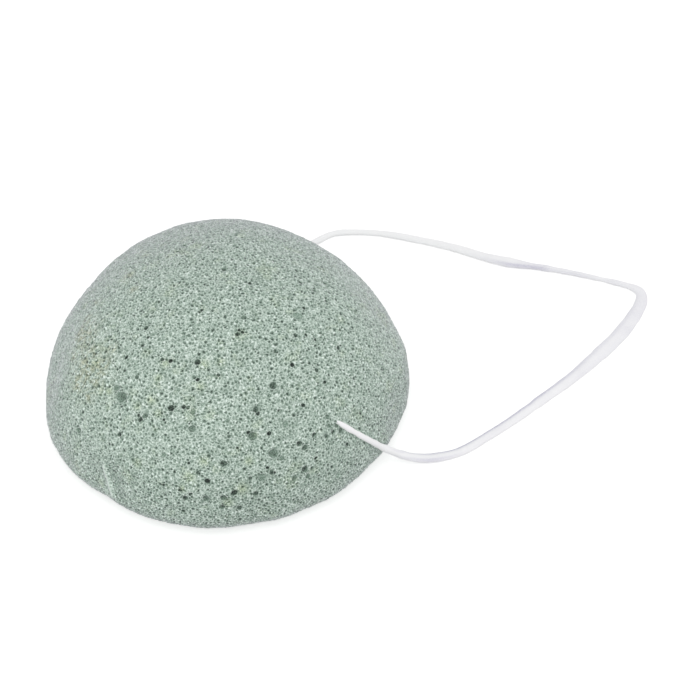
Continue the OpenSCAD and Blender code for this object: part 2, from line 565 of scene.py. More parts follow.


# The large pores: the photograph's column and row, the width in mm and the darkness of the shade painted
# into it
PORES = (
    (202, 310, 0.85, 0.95), (244, 317, 1.1, 0.65), (239, 330, 0.65, 1), (243, 332, 0.65, 1),
    (237, 334, 0.9, 0.75), (146, 327.5, 0.95, 0.85), (148, 337, 0.7, 0.8), (170.5, 360, 0.75, 1),
    (162, 359, 0.8, 0.75), (197.5, 361.5, 1.1, 0.95), (276, 351, 0.95, 0.7), (292, 365, 0.75, 0.85),
    (197.5, 379, 0.8, 0.95), (273.5, 385, 1.45, 0.8), (218.5, 374.5, 0.7, 0.8),
    (170.5, 408.5, 1.3, 0.95), (183, 407, 0.75, 0.85), (188.5, 407.5, 0.8, 0.65),
    (193, 411.5, 1.25, 0.55), (144.5, 415, 1.1, 0.65), (161.5, 412.5, 0.6, 0.75),
    (167, 415, 0.85, 0.55), (164, 419.5, 0.65, 1), (189, 424, 0.6, 0.9), (192.5, 429, 1.3, 0.6),
    (248.5, 432.5, 0.8, 0.9), (253, 436.5, 1.5, 0.65), (269.5, 433.5, 0.85, 0.85),
    (256, 409.5, 1.15, 0.8), (258, 414, 0.65, 0.8), (278.5, 410, 0.6, 0.95), (285.5, 424, 1.3, 0.45),
    (228, 420.5, 0.85, 0.55), (229, 436.5, 0.75, 0.65), (224, 463.5, 1.3, 0.75), (274, 454, 1.85, 0.6),
    (282, 458.5, 1, 0.45), (237, 447.5, 0.6, 0.8), (164, 454.5, 1, 0.45), (155, 460.5, 0.6, 0.9),
    (189, 463, 0.7, 0.8), (209, 456, 0.8, 0.6), (267.5, 468, 0.65, 0.9), (271.5, 472.5, 1.1, 0.75),
    (275, 473.5, 0.6, 0.75), (262.5, 477.5, 1.45, 0.5), (198, 473, 0.7, 0.75), (207, 481, 0.9, 0.85),
    (163, 485, 0.7, 0.95), (180, 490.5, 0.95, 0.8), (185.5, 498.5, 1.05, 0.75), (206, 499, 1.2, 0.6),
    (223.5, 498.5, 1.25, 0.65), (234.5, 493.5, 1.25, 0.85), (255.5, 494, 1, 0.7), (190, 494, 0.6, 0.8),
    (222.5, 507.5, 1, 0.55), (239, 508.5, 1.1, 0.7), (183, 511, 0.85, 0.7), (210, 517, 1, 0.45),
    (251, 479, 0.75, 0.65), (295, 478.5, 1.3, 0.55), (280, 492, 0.65, 0.75), (121, 397, 2.1, 0.6),
    (116.5, 387.5, 1.4, 0.6), (78, 430.5, 1.3, 0.65), (122, 406, 0.7, 0.9), (127, 356.5, 0.7, 0.85),
    (95.5, 353.5, 0.75, 0.75), (142.5, 345, 0.8, 0.75), (138, 415.5, 0.7, 0.8), (140, 419.5, 0.65, 0.9),
    (109, 444, 0.75, 0.75), (119, 434, 0.7, 0.75), (91, 457, 0.7, 0.8), (111, 453.5, 0.75, 0.7),
    (136.5, 377.5, 0.85, 0.65), (92, 342.5, 0.85, 0.6), (303.5, 405.5, 0.9, 0.85),
    (325, 382, 0.7, 0.85), (350, 393, 0.75, 0.6), (327.5, 417, 0.95, 0.6), (337, 425, 1, 0.65),
    (340.5, 430.5, 1.15, 0.75), (329, 426, 0.85, 0.55), (333, 432, 0.85, 0.7), (314, 434, 0.75, 0.8),
    (327, 436.5, 0.85, 0.65), (300, 442.5, 1.1, 0.75), (348, 444.5, 0.75, 0.85), (305, 448, 1.2, 0.75),
    (316, 458.5, 0.7, 0.9), (306, 469.5, 1.25, 0.7), (308.5, 476.5, 1.05, 0.55),
    (337.5, 475, 1.2, 0.35), (306, 334.5, 0.8, 1), (296, 335, 0.95, 0.65), (315.5, 339.5, 0.6, 0.85),
    (340.5, 345, 0.6, 0.95), (338.5, 348, 0.8, 0.85), (351, 353.5, 0.75, 0.75), (360.5, 367, 0.65, 0.9),
    (316.5, 370, 0.85, 0.75), (384, 369.5, 0.7, 0.75), (354, 378.5, 0.7, 0.75),
    (304, 308.5, 0.65, 0.95), (343.5, 315, 0.6, 0.95), (297, 315, 1.7, 0.4), (300.5, 282.5, 0.85, 0.8),
    (325.5, 283, 0.85, 0.75), (326.5, 301, 0.75, 0.7), (314, 290.5, 0.85, 0.65), (184.5, 243, 1, 0.7),
    (177, 250.5, 1, 0.6), (236.5, 247, 0.85, 0.75), (202, 264, 0.85, 0.6), (224, 269, 1, 0.65),
    (216.5, 278.5, 0.6, 0.85), (249.5, 283, 0.85, 0.85), (243, 293, 0.75, 0.7),
)
# The patches of thick clay and those of rust: column, row and width in mm
CLAY = (
    (204, 364, 1.0), (221, 362, 0.8), (189, 477, 1.2), (204, 461, 1.0), (255, 435, 0.6),
    (165, 363, 0.9), (158, 378, 0.8), (200, 386, 0.9), (109, 391, 0.8), (151, 400, 1.0),
    (137, 406, 0.8), (158, 413, 0.8), (137, 463, 0.9), (249, 461, 0.9), (242, 489, 1.3),
    (228, 503, 1.0), (182, 489, 0.8), (96, 362, 1.0),
)
RUST = (
    (84, 366, 1.3), (98, 377, 1.2), (92, 352, 1.1), (105, 364, 1.0), (78, 384, 1.3), (112, 348, 1.0),
    (89, 396, 1.1), (73, 356, 1.0), (86, 318, 1.1), (80, 331, 1.0), (96, 302, 1.0), (128, 276, 1.2),
    (133, 290, 1.1), (90, 372, 5.0), (84, 335, 3.5),
)


@dataclass
class FoamBody:
    """The sponge: a moulded half ball of foam with a soft plan, a rounded rim and a flat face.

    Its mesh is a net. Every open cell is a pit of its own, with a ridge all round that it shares
    with its neighbours.
    """

    eye: PhotoEye
    radius: float = 40.05 * MM
    height: float = 36.1 * MM
    rim_height: float = 5.2 * MM
    rim_in: float = 7.6 * MM
    base_cut: float = 0.5 * MM
    # How the plan departs from a circle: lobes, share of the radius, bearing in degrees
    plan_lobes: tuple[tuple[int, float, float], ...] = ((2, 0.021, 58), (3, 0.017, -35), (4, 0.010, -11))
    # Spacing of the cells on the crown, round the sides and on the flat face
    crown_pitch: float = 0.74 * MM
    side_pitch: float = 0.6 * MM
    flat_pitch: float = 0.82 * MM
    # Heights between which the crown's spacing gives way to the sides', and how far in from the
    # flat face's edge its own spacing is reached
    pitch_heights: tuple[float, float] = (29 * MM, 14 * MM)
    flat_reach: float = 4 * MM
    cell_jitter_share: float = 0.33
    # How far all cells stay from the two poles of the form
    pole_gap: float = 0.1 * MM
    # Share of large cells out of the eye's sight, their widths, and their darkness and its spread
    large_share: float = 0.006
    large_widths: tuple[float, float] = (0.95 * MM, 1.4 * MM)
    large_tone: tuple[float, float] = (0.65, 0.12)
    # Rings inside a large cell: share of its width, share of its depth
    ring_shares: tuple[tuple[float, float], ...] = ((0.86, 0.9), (0.6, 1.0))
    # Where the ring of small cells round a named pore lies and how unevenly, in shares of the
    # spacing, and how unevenly round the pore, in radians
    wreath_share: float = 0.45
    wreath_spread_share: float = 0.06
    wreath_turn: float = 0.12
    # How near to a large cell small ones come, to a named pore scattered ones, and to each other
    # small ones, in shares of the spacing
    near_share: float = 0.36
    clear_share: float = 0.95
    apart_share: float = 0.42
    # Named pores this near to each other, in shares of the radius, are one
    merged_share: float = 0.6
    # Pores are made a little wider than they look, since the net round them fills them, and the
    # wide ones are a little paler
    fullness: float = 1.1
    wide_pore: float = 1 * MM
    wide_pore_fade: float = 0.1
    # Shade painted into the small cells, as darkness: its mean, how alike the cells are, its range,
    # and how far a cell is evened out with those around, within so many spacings
    mean_tone: float = 0.52
    tone_likeness: float = 4.5
    tone_range: tuple[float, float] = (0.1, 1.0)
    evenness: float = 0.9
    evened_share: float = 2.2
    # How much of its painted shade a small cell owes to its size, and the least and most that gives
    size_tone_share: float = 0.45
    size_tone_range: tuple[float, float] = (0.5, 1.15)
    ridge_tones: tuple[float, float] = (-0.05, 0.12)
    # Depth of a cell in shares of its radius, its range by chance, and the unevenness of the net
    pit_share: float = 0.62
    pit_range: tuple[float, float] = (0.7, 1.3)
    large_pit_share: float = 0.9
    least_large_tone: float = 0.4
    ridge_unevenness: float = 0.05 * MM
    # Chance in depth and in painted shade of the rings inside a large cell
    ring_depths: tuple[float, float] = (0.85, 1.1)
    ring_tones: tuple[float, float] = (0.8, 1.15)
    # Share of the net's crossings that get a painted glint, how many times more do so near the rim
    # and between which heights that comes in, and how strong the painted glints are
    glint_share: float = 0.125
    low_glints: float = 3.0
    low_glint_heights: tuple[float, float] = (12 * MM, 4 * MM)
    glint_range: tuple[float, float] = (0.5, 1.0)
    # How much stronger the painted shade in the cells is near the rim,
    # and the heights between which that comes in
    low_darkness: float = 0.2
    low_heights: tuple[float, float] = (18 * MM, 7 * MM)
    # Soft unevenness of the whole form: how deep and how wide, and the height under which the
    # flat face has none
    waves: tuple[tuple[float, float], ...] = ((0.16 * MM, 14 * MM), (0.09 * MM, 4 * MM))
    wave_offset: float = 7.0
    flat_level: float = 0.3 * MM
    # Where the cord's channel runs, as in the part, and the dip round its mouths: how wide and deep
    # it is, and how steeply it fades out
    channel_off: float = 15 * MM
    channel_height: float = 19.5 * MM
    mouth_width: float = 1.6 * MM
    mouth_depth: float = 0.35 * MM
    mouth_steepness: float = 1.6
    seed: int = 11
    pores: tuple[Pore, ...] = tuple(Pore((x, y), width * MM, tone) for x, y, width, tone in PORES)
    swells: tuple[Swell, ...] = (
        Swell((101, 484), -1.15 * MM, 6.5 * MM),
        Swell((51, 374), -0.95 * MM, 5.5 * MM),
        Swell((64, 338), -0.55 * MM, 7.0 * MM),
        Swell((178, 232), -0.75 * MM, 9.0 * MM),
        Swell((288, 512), 0.4 * MM, 3.5 * MM),
        Swell((335, 487), 0.45 * MM, 4.5 * MM),
        Swell((53, 433), 0.35 * MM, 3.6 * MM),
        Swell((404, 374), 0.7 * MM, 6.5 * MM),
        Swell((400, 345), 0.5 * MM, 4.0 * MM),
        Swell((374, 300), -1.0 * MM, 7.0 * MM),
        Swell((398, 412), -0.7 * MM, 4.5 * MM),
        Swell((303, 504), -0.3 * MM, 3.0 * MM),
        Swell((246, 521), -0.25 * MM, 6.0 * MM),
        Swell((108, 266), 0.25 * MM, 5.0 * MM),
    )
    marks: tuple[Mark, ...] = (
        Mark(
            seen_at=((99, 455), (101.5, 465), (104, 477), (107, 488), (110, 496)),
            width=1 * MM,
            rise=0.5 * MM,
            groove=0.25 * MM,
        ),
        Mark(
            seen_at=((127, 454), (131, 460), (134, 465)),
            width=0.22 * MM,
            rise=0.02 * MM,
            groove=0.3 * MM,
        ),
    )
    mark_reach: float = 5 * MM
    mark_steps: int = 60
    # From which rise on an edge it is painted pale, how pale and how smooth it is, and how dark
    # the shade painted in its groove is
    pale_rise: float = 0.1 * MM
    edge_paleness: float = 0.2
    edge_smoothness: float = 0.8
    groove_darkness: float = 0.14
    # Room round the dome and round the flat face on the baked sheet
    dome_margin: float = 1.04
    base_margin: float = 1.08
    clay_stains: tuple[Stain, ...] = tuple(Stain((x, y), width * MM) for x, y, width in CLAY)
    rust_stains: tuple[Stain, ...] = tuple(Stain((x, y), width * MM) for x, y, width in RUST)

    def __post_init__(self) -> None:
        """Works out the profile, from the top of the dome to the middle of the flat face."""
        dome_steps, rim_steps, base_steps = 900, 300, 500
        fine = np.linspace(0, math.pi / 2, dome_steps)
        dome_height = self.rim_height + (self.height - self.rim_height) * np.cos(fine)
        dome = np.stack([self.radius * np.sin(fine), dome_height], 1)
        drop = self.rim_height + self.base_cut
        low = np.linspace(0, math.asin(self.rim_height / drop), rim_steps)[1:]
        rim_radius = self.radius - self.rim_in * (1 - np.cos(low))
        rim = np.stack([rim_radius, self.rim_height - drop * np.sin(low)], 1)
        flat = np.linspace(rim[-1, 0], 0, base_steps)[1:]
        base = np.stack([flat, np.zeros_like(flat)], 1)
        self.profile = np.concatenate([dome, rim, base])
        self.along = distances(self.profile)
        steps = np.diff(self.along)
        self.seam = self.along[len(dome) + len(rim) - 1]
        middle = (self.profile[1:, 0] + self.profile[:-1, 0]) / 2
        pitch = self.pitch((self.along[1:] + self.along[:-1]) / 2)
        # Six cells lie round each, so this is the room that one takes
        cell_area = pitch**2 * math.sqrt(0.75)
        self.crowd = np.concatenate([[0], np.cumsum(TURN * middle * steps / cell_area)])
        stretch = np.concatenate([[0], np.cumsum(steps / np.maximum(middle, 1e-9))])
        widest = stretch[len(dome)]
        self.polar = 2 * np.arctan(np.exp(stretch - widest))
        self.polar[0], self.polar[-1] = 0.0, math.pi
        self.skin = self.smooth_skin()
        self.mouths = {m: self.mouth(m) for m in Mouth}

    def pitch(self, along: np.ndarray) -> np.ndarray:
        """Gives the spacing of the cells at some distances down the profile."""
        height = np.interp(along, self.along, self.profile[:, 1])
        low = smooth_step(*self.pitch_heights, height)
        side = self.crown_pitch + (self.side_pitch - self.crown_pitch) * low
        under = smooth_step(self.seam, self.seam + self.flat_reach, along)
        return side + (self.flat_pitch - side) * under

    def surface(self, along: np.ndarray, bearing: np.ndarray) -> np.ndarray:
        """Gives places on the smooth form.

        Args:
            along: Distance down the profile from the top of the dome.
            bearing: Angle round the dome, in radians from +X.

        Returns:
            One place for each.
        """
        r = np.interp(along, self.along, self.profile[:, 0])
        z = np.interp(along, self.along, self.profile[:, 1])
        for lobes, share, peak in self.plan_lobes:
            r = r * (1 + share * np.cos(lobes * (bearing - math.radians(peak))))
        return np.stack([r * np.cos(bearing), r * np.sin(bearing), z], -1)

    def outward(self, along: np.ndarray, bearing: np.ndarray) -> np.ndarray:
        """Gives the direction straight out of the smooth form, with the arguments of surface."""
        step = 0.2 * MM
        inner = np.clip(along, 2 * step, self.along[-1] - 2 * step)
        down = self.surface(inner + step, bearing) - self.surface(inner - step, bearing)
        swing = 1e-3
        round_it = self.surface(inner, bearing + swing) - self.surface(inner, bearing - swing)
        return unit(np.cross(down, round_it))

    def smooth_skin(self) -> BVHTree:
        """Makes a smooth skin of the form, to rest things on and to look at pixels on.

        Returns:
            A tree that finds the nearest place, or where a ray comes in.
        """
        rows, columns = 220, 240
        along = np.repeat(np.linspace(0.2 * MM, self.seam, rows), columns)
        bearing = np.tile(np.arange(columns) * TURN / columns, rows)
        points = self.surface(along, bearing)
        a, b = ring_grid(rows, columns)
        quads = np.stack([a, a + columns, b + columns, b], -1).reshape(-1, 4)
        return BVHTree.FromPolygons(points.tolist(), quads.tolist())

    def seen(self, pixel: tuple[float, float]) -> np.ndarray:
        """Finds the place of the foam that a pixel of the photograph shows.

        Args:
            pixel: Its column and row.

        Returns:
            The place on the smooth form.
        """
        hit = self.skin.ray_cast(Vector(self.eye.place()), Vector(self.eye.ray(pixel)))[0]
        return np.array(hit)

    def mouth(self, side: Mouth) -> np.ndarray:
        """Finds where the cord's channel comes out.

        Args:
            side: Which mouth.

        Returns:
            The place on the smooth form.
        """
        start = Vector((self.channel_off, 2 * side.value * self.radius, self.channel_height))
        return np.array(self.skin.ray_cast(start, Vector((0, -side.value, 0)))[0])

    def coordinates(self, points: np.ndarray) -> tuple[np.ndarray, np.ndarray]:
        """Turns places on the upper form into distance down the profile and bearing.

        Args:
            points: The places, one row each.

        Returns:
            The distances and the bearings.
        """
        bearing = np.arctan2(points[:, 1], points[:, 0])
        r = np.hypot(points[:, 0], points[:, 1])
        for lobes, share, peak in self.plan_lobes:
            r = r / (1 + share * np.cos(lobes * (bearing - math.radians(peak))))
        top = self.along <= self.seam
        place = np.stack([r, points[:, 2]], 1)
        nearest = [np.argmin(((self.profile[top] - p) ** 2).sum(1)) for p in place]
        return self.along[top][nearest], bearing

    def wreaths(
        self, rng: np.random.Generator, placed: tuple[np.ndarray, np.ndarray]
    ) -> tuple[np.ndarray, np.ndarray]:
        """Places a ring of small cells round each named pore, so that it comes out full and round.

        Args:
            rng: The source of chance.
            placed: The pores' distances down the profile and their bearings.

        Returns:
            The same two for the small cells.
        """
        along, bearing = [], []
        for pore, down, turn, pitch in zip(self.pores, *placed, self.pitch(placed[0])):
            away = self.fullness * pore.width / 2 + self.wreath_share * pitch
            count = round(TURN * away / pitch)
            angle = (np.arange(count) + rng.random()) * TURN / count
            angle += rng.normal(0, self.wreath_turn, count)
            reach = away + rng.normal(0, self.wreath_spread_share, count) * pitch
            round_here = np.interp(down, self.along, self.profile[:, 0])
            along.append(down + reach * np.cos(angle))
            bearing.append(turn + reach * np.sin(angle) / round_here)
        return np.concatenate(along), np.concatenate(bearing)

    def cells(self, rng: np.random.Generator) -> tuple[np.ndarray, ...]:
        """Scatters the middles of the cells, evenly but without order, with large ones among them.

        Args:
            rng: The source of chance.

        Returns:
            For each cell its distance down the profile, its bearing, its radius, its darkness and
            whether it is wide enough, or dark enough, to have rings inside.
        """
        count = round(self.crowd[-1])
        order = np.arange(count) + 0.5
        along = np.interp(order / count * self.crowd[-1], self.crowd, self.along)
        golden_share = 2 / (1 + math.sqrt(5))
        bearing = order * TURN * golden_share
        pitch = self.pitch(along)
        jitter = rng.normal(0, self.cell_jitter_share, (2, count)) * pitch
        along = np.clip(along + jitter[0], self.pole_gap, self.along[-1] - self.pole_gap)
        around = np.maximum(np.interp(along, self.along, self.profile[:, 0]), 2 * pitch)
        bearing = bearing + jitter[1] / around
        placed = self.coordinates(np.array([self.seen(p.seen_at) for p in self.pores]))
        wreath = self.wreaths(rng, placed)
        along = np.concatenate([placed[0], wreath[0], along])
        bearing = np.concatenate([placed[1], wreath[1], bearing])
        pitch = self.pitch(along)
        named, scattered = len(self.pores), len(self.pores) + len(wreath[0])
        radius = pitch / 2
        radius[:named] = [self.fullness * p.width / 2 for p in self.pores]
        tone = rng.gamma(self.tone_likeness, self.mean_tone / self.tone_likeness, len(along))
        tone = np.clip(tone, *self.tone_range)
        fade = [self.wide_pore_fade * (p.width > self.wide_pore) for p in self.pores]
        tone[:named] = [p.tone * (1 - less) for p, less in zip(self.pores, fade)]
        points = self.surface(along, bearing)
        seen = ((self.eye.place() - points) * self.outward(along, bearing)).sum(1) > 0
        share = np.where(seen, 0, self.large_share)
        share[:named] = 0
        chosen = np.flatnonzero(rng.random(len(share)) < share)
        radius[chosen] = rng.uniform(*self.large_widths, len(chosen)) / 2
        tone[chosen] = rng.normal(*self.large_tone, len(chosen))
        tree = KDTree(len(points))
        for i, p in enumerate(points.tolist()):
            tree.insert(p, i)
        tree.balance()
        kept = np.ones(len(points), bool)
        large = np.concatenate([np.arange(named), chosen])
        for i in large:
            if not kept[i]:
                continue
            for _, j, gap in tree.find_range(points[i].tolist(), radius[i] + self.large_widths[1] / 2):
                clear = self.clear_share if i < named and j >= scattered else self.near_share
                near = radius[i] + (clear * pitch[j] if radius[j] < pitch[j] else radius[j])
                if j != i and gap < near and (j >= named or gap < radius[i] * self.merged_share):
                    kept[j] = False
        wide = np.isin(np.arange(len(points)), large)
        for i in np.flatnonzero(kept):
            if wide[i] or not kept[i]:
                continue
            for _, j, gap in tree.find_range(points[i].tolist(), self.apart_share * pitch[i]):
                if j > i and not wide[j]:
                    kept[j] = False
        # A dark cell among dark ones is made paler, so that the net stays even
        small = np.flatnonzero(kept & ~wide)
        even = tone.copy()
        for i in small:
            near = tree.find_range(points[i].tolist(), self.evened_share * pitch[i])
            around = [j for _, j, _ in near if kept[j] and not wide[j]]
            even[i] = tone[i] - self.evenness * (tone[around].mean() - self.mean_tone)
        even[small] = np.clip(even[small], *self.tone_range)
        return along[kept], bearing[kept], radius[kept], even[kept], wide[kept]

    def hollows(self, points: np.ndarray) -> np.ndarray:
        """Gives how far the foam is drawn in, apart from its cells.

        Args:
            points: Places on the smooth form.

        Returns:
            A depth for each place: the mouths' funnels, the bumps and dents, and soft unevenness.
        """
        depth = np.zeros(len(points))
        for k, (deep, width) in enumerate(self.waves):
            depth += deep * lumps(points, width, self.wave_offset * k)
        depth = np.where(points[:, 2] < self.flat_level, 0.0, depth)
        for middle in self.mouths.values():
            away = np.linalg.norm(points - middle, axis=1) / (self.mouth_width / 2)
            depth += self.mouth_depth * np.exp(-(away**2) * self.mouth_steepness)
        for swell in self.swells:
            away = np.linalg.norm(points - self.seen(swell.seen_at), axis=1) / swell.width
            depth -= swell.rise * np.exp(-(away**2))
        return depth

    def marked(self, points: np.ndarray, normal: np.ndarray) -> tuple[np.ndarray, np.ndarray]:
        """Gives how the creases and scratches raise the foam, and the light and shade painted on them.

        Args:
            points: Places on the smooth form.
            normal: The direction out of the form at each.

        Returns:
            A rise for each place, and painted light and shade from -1 in a dark groove to 1 on a pale
            edge.
        """
        rise, painted_light_and_shade = np.zeros(len(points)), np.zeros(len(points))
        for mark in self.marks:
            stops = np.array([self.seen(p) for p in mark.seen_at])
            share = np.linspace(0, 1, self.mark_steps)
            line = places_at(share, np.linspace(0, 1, len(stops)), stops)
            heading = unit(np.gradient(line, axis=0))
            from_middle = np.linalg.norm(points - line.mean(0), axis=1)
            near = np.flatnonzero(from_middle < self.mark_reach + 2 * mark.width)
            away = points[near][:, None] - line[None]
            first = np.linalg.norm(away, axis=2).argmin(1)
            offset = away[np.arange(len(near)), first]
            side = (np.cross(heading[first], normal[near]) * offset).sum(1)
            past = (heading[first] * offset).sum(1)
            hold = smooth_step(0, mark.fade_share, share[first]) * np.exp(-((past / mark.width) ** 2))
            across = side / mark.width
            edge = np.exp(-((across / mark.edge_share) ** 2)) * hold
            trough = np.exp(-(((across + mark.groove_off_share) / mark.groove_share) ** 2)) * hold
            rise[near] += mark.rise * edge - mark.groove * trough
            painted_light_and_shade[near] += edge * float(mark.rise > self.pale_rise) - trough
        return rise, np.clip(painted_light_and_shade, -1, 1)

    def stained(self, points: np.ndarray, stains: tuple[Stain, ...]) -> np.ndarray:
        """Gives how strong some stains are, from 0 to 1.

        Args:
            points: Places on the foam.
            stains: The stains of one kind.

        Returns:
            A strength for each place.
        """
        strength = np.zeros(len(points))
        for stain in stains:
            away = np.linalg.norm(points - self.seen(stain.seen_at), axis=1) / stain.width
            strength += np.exp(-(away**2))
        return np.minimum(strength, 1)

    def triangles(self, ball: np.ndarray) -> np.ndarray:
        """Joins the middles of the cells into triangles, one for each place where three cells meet.

        Args:
            ball: The middles, wrapped round a ball of radius 1.

        Returns:
            The cells at each triangle's corners, in order as seen from outside.
        """
        web = bmesh.new()
        for p in ball.tolist():
            web.verts.new(p)
        web.verts.index_update()
        bmesh.ops.convex_hull(web, input=web.verts)
        corners = np.array([[v.index for v in f.verts] for f in web.faces])
        web.free()
        a, b, c = (ball[corners[:, i]] for i in range(3))
        inward = (np.cross(b - a, c - a) * a).sum(1) < 0
        corners[inward] = corners[inward][:, ::-1]
        return corners

    def build(self, material: bpy.types.Material) -> bpy.types.Object:
        """Makes the net of cells.

        Args:
            material: The foam's finish.

        Returns:
            The sponge.
        """
        rng = np.random.default_rng(self.seed)
        along, bearing, radius, tone, ringed = self.cells(rng)
        polar = np.interp(along, self.along, self.polar)
        level = np.sin(polar)
        ball = np.stack([level * np.cos(bearing), level * np.sin(bearing), np.cos(polar)], 1)
        corners = self.triangles(ball)

        # Where three cells meet, their ridges meet too, nearer to the smaller cells
        weight = 1 / radius[corners] ** 2
        meet = unit((ball[corners] * weight[..., None]).sum(1))
        meet_along = np.interp(np.arccos(np.clip(meet[:, 2], -1, 1)), self.polar, self.along)
        meet_bearing = np.arctan2(meet[:, 1], meet[:, 0])

        # Each side of each triangle, and the same side seen from the next triangle
        count = len(corners)
        start = corners.ravel()
        end = np.roll(corners, -1, axis=1).ravel()
        owner = np.repeat(np.arange(count), 3)
        key, back_key = start * len(ball) + end, end * len(ball) + start
        order = np.argsort(key)
        twin = order[np.searchsorted(key[order], back_key)]
        next_owner = owner[twin]
        # The corner of the same cell in the next triangle
        slot_next = next_owner * 3 + (twin % 3 + 1) % 3

        cell_points, meet_points = self.surface(along, bearing), self.surface(meet_along, meet_bearing)
        reach = np.linalg.norm(meet_points[owner] - cell_points[start], axis=1)
        share = np.bincount(start, minlength=len(ball))
        size = np.bincount(start, reach, len(ball)) / np.maximum(share, 1)
        pit = size * self.pit_share * rng.uniform(*self.pit_range, len(ball))
        large_pit = size * self.large_pit_share * np.clip(tone, self.least_large_tone, 1)
        pit = np.where(ringed, large_pit, pit)

        places = [cell_points, meet_points]
        out = [self.outward(along, bearing), self.outward(meet_along, meet_bearing)]
        sunk = [pit, rng.normal(0, self.ridge_unevenness, count)]
        # Painted shade: each cell is darkest at its middle, more so the wider it is, and pale on the net
        by_size = 1 + self.size_tone_share * (size / (self.pitch(along) / 2) - 1)
        shade = [tone * np.clip(by_size, *self.size_tone_range), rng.uniform(*self.ridge_tones, count)]
        spans = [along, meet_along]
        ring_slots = np.flatnonzero(ringed[start])
        ring_number = np.full(3 * count, -1)
        ring_number[ring_slots] = np.arange(len(ring_slots))
        for width_share, depth_share in self.ring_shares:
            cell, junction = start[ring_slots], owner[ring_slots]
            places.append(cell_points[cell] * (1 - width_share) + meet_points[junction] * width_share)
            out.append(unit(out[0][cell] * (1 - width_share) + out[1][junction] * width_share))
            sunk.append(pit[cell] * depth_share * rng.uniform(*self.ring_depths, len(cell)))
            shade.append(tone[cell] * depth_share * rng.uniform(*self.ring_tones, len(cell)))
            spans.append(along[cell] * (1 - width_share) + meet_along[junction] * width_share)
        starts = np.cumsum([0] + [len(p) for p in places])
        stacks = (places, out, sunk, shade, spans)
        points, normal, depth, dark, span = (np.concatenate(stack) for stack in stacks)
        # The painted shade in the cells grows stronger towards the rim
        dark = dark * (1 + self.low_darkness * smooth_step(*self.low_heights, points[:, 2]))
        rise, painted_light_and_shade = self.marked(points, normal)
        # Painted light on a crease's raised edge takes out the cell shade and lightens it, and painted
        # shade darkens its groove
        pale = np.maximum(painted_light_and_shade, 0)
        dark = dark * (1 - pale) - self.edge_paleness * pale
        dark += self.groove_darkness * np.maximum(-painted_light_and_shade, 0)
        depth = depth * (1 - self.edge_smoothness * pale)
        points = points - normal * (depth + self.hollows(points) - rise)[:, None]
        points[:, 2] = np.maximum(points[:, 2], 0)

        plain = np.flatnonzero(~ringed[start])
        here, there = starts[1] + owner, starts[1] + next_owner
        faces = [np.stack([start[plain], there[plain], here[plain]], 1)]
        outer_here, outer_there = here[ring_slots], there[ring_slots]
        for k in range(len(self.ring_shares)):
            inner_here = starts[2 + k] + ring_number[ring_slots]
            inner_there = starts[2 + k] + ring_number[slot_next[ring_slots]]
            faces.append(np.stack([inner_here, inner_there, outer_there], 1))
            faces.append(np.stack([inner_here, outer_there, outer_here], 1))
            outer_here, outer_there = inner_here, inner_there
        faces.append(np.stack([start[ring_slots], outer_there, outer_here], 1))
        faces = np.concatenate(faces)
        used, flat = np.unique(faces, return_inverse=True)
        faces = flat.reshape(-1, 3)

        piece = new_object("sponge_foam", points[used], faces.tolist(), material)
        # The mesh's depth carries the painted shade, for the material's ramp
        paint(piece, "depth", np.clip(dark[used], -self.edge_paleness, 1))
        # Painted highlights: some crossings of the net are painted near white, more of them near the rim
        shine = np.zeros(len(points))
        more = 1 + self.low_glints * smooth_step(*self.low_glint_heights, meet_points[:, 2])
        lit = rng.random(count) < self.glint_share * more
        # Two glints side by side would melt into one large one
        crowded = np.bincount(owner, lit[next_owner] & (next_owner < owner), count) > 0
        shine[starts[1] : starts[2]] = (lit & ~crowded) * rng.uniform(*self.glint_range, count)
        paint(piece, "painted_glint", shine[used])
        paint(piece, "clay", self.stained(points[used], self.clay_stains))
        paint(piece, "rust", self.stained(points[used], self.rust_stains))
        self.unwrap(piece, span[used], points[used], faces)
        LOG.info("sponge_foam: %d cells, %d faces", len(ball), len(faces))
        return piece

    def unwrap(
        self, piece: bpy.types.Object, span: np.ndarray, points: np.ndarray, faces: np.ndarray
    ) -> None:
        """Lays the skin out flat for the bake: the dome as one disc and the flat face as another.

        Args:
            piece: The sponge.
            span: Each vertex's distance down the profile.
            points: The vertices.
            faces: The vertex numbers of each face.
        """
        total = self.along[-1]
        dome_reach, base_reach = self.seam * self.dome_margin, (total - self.seam) * self.base_margin
        # The two discs touch on the sheet's diagonal
        scale = 1 / ((dome_reach + base_reach) * (1 + math.sqrt(0.5)))
        bearing = np.arctan2(points[:, 1], points[:, 0])
        ray = np.stack([np.cos(bearing), np.sin(bearing)], 1)
        dome = ray * (span * scale)[:, None] + dome_reach * scale
        base = 1 - base_reach * scale - ray * ((total - span) * scale)[:, None]
        below = span[faces].mean(1) > self.seam
        corners = np.where(below[:, None, None], base[faces], dome[faces])
        layer = piece.data.uv_layers.new(name="OFBake")
        layer.data.foreach_set("uv", corners.reshape(-1).astype(np.float32))


@dataclass(frozen=True)
class CordStyle:
    """How the cord looks at one place, at a distance from the front mouth.

    It has a width, a thickness and a roll in degrees. Painted shade lies in a line just inside the
    edge towards the middle of the loop and along the outer edge, and a lilac-grey lies in patches all
    over.
    """

    at: float
    width: float
    thick: float
    roll: float
    patch: float
    hem_shade: float = 0.0
    outer: float = 0.0


